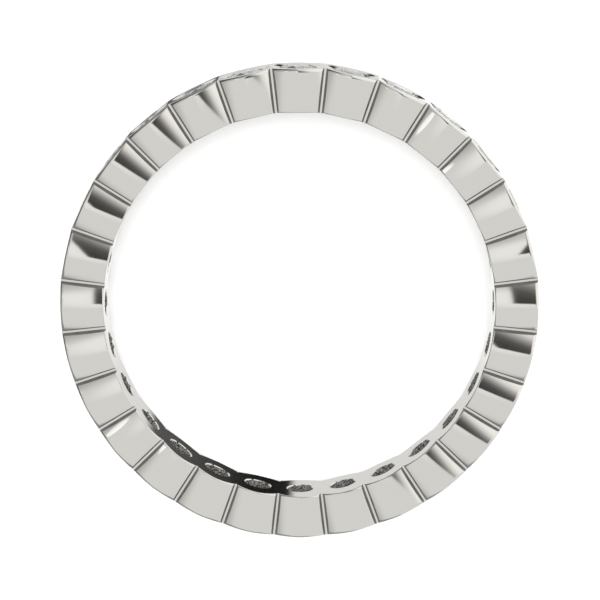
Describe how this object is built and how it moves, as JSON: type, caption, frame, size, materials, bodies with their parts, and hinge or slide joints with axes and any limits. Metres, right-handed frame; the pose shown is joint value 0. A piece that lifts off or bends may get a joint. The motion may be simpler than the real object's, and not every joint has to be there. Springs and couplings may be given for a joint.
{
  "type": "wedding ring",
  "caption": "Full eternity wedding band: a closed circle of barrel-sided bezel collets with grooves between them, each holding a round brilliant-cut clear stone, over open azure holes.",
  "frame": {"origin": "centre of the finger bore, at the level of the surface that the ring lies on", "axes": "+Z along the finger bore's axis; +Y through the groove between the last collet and the first"},
  "size_m": [0.0212, 0.0212, 0.0029],
  "materials": {
    "white_gold": "mirror-polished white gold with a rhodium plate",
    "diamond": "clear, polished facets"
  },
  "bodies": {
    "root": {"band": "white_gold", "stone_01": "diamond", "stone_02": "diamond", "stone_03": "diamond", "stone_04": "diamond", "stone_05": "diamond", "stone_06": "diamond", "stone_07": "diamond", "stone_08": "diamond", "stone_09": "diamond", "stone_10": "diamond", "stone_11": "diamond", "stone_12": "diamond", "stone_13": "diamond", "stone_14": "diamond", "stone_15": "diamond", "stone_16": "diamond", "stone_17": "diamond", "stone_18": "diamond", "stone_19": "diamond", "stone_20": "diamond", "stone_21": "diamond", "stone_22": "diamond", "stone_23": "diamond", "stone_24": "diamond", "stone_25": "diamond", "stone_26": "diamond", "stone_27": "diamond", "stone_28": "diamond"}
  },
  "joints": []
}
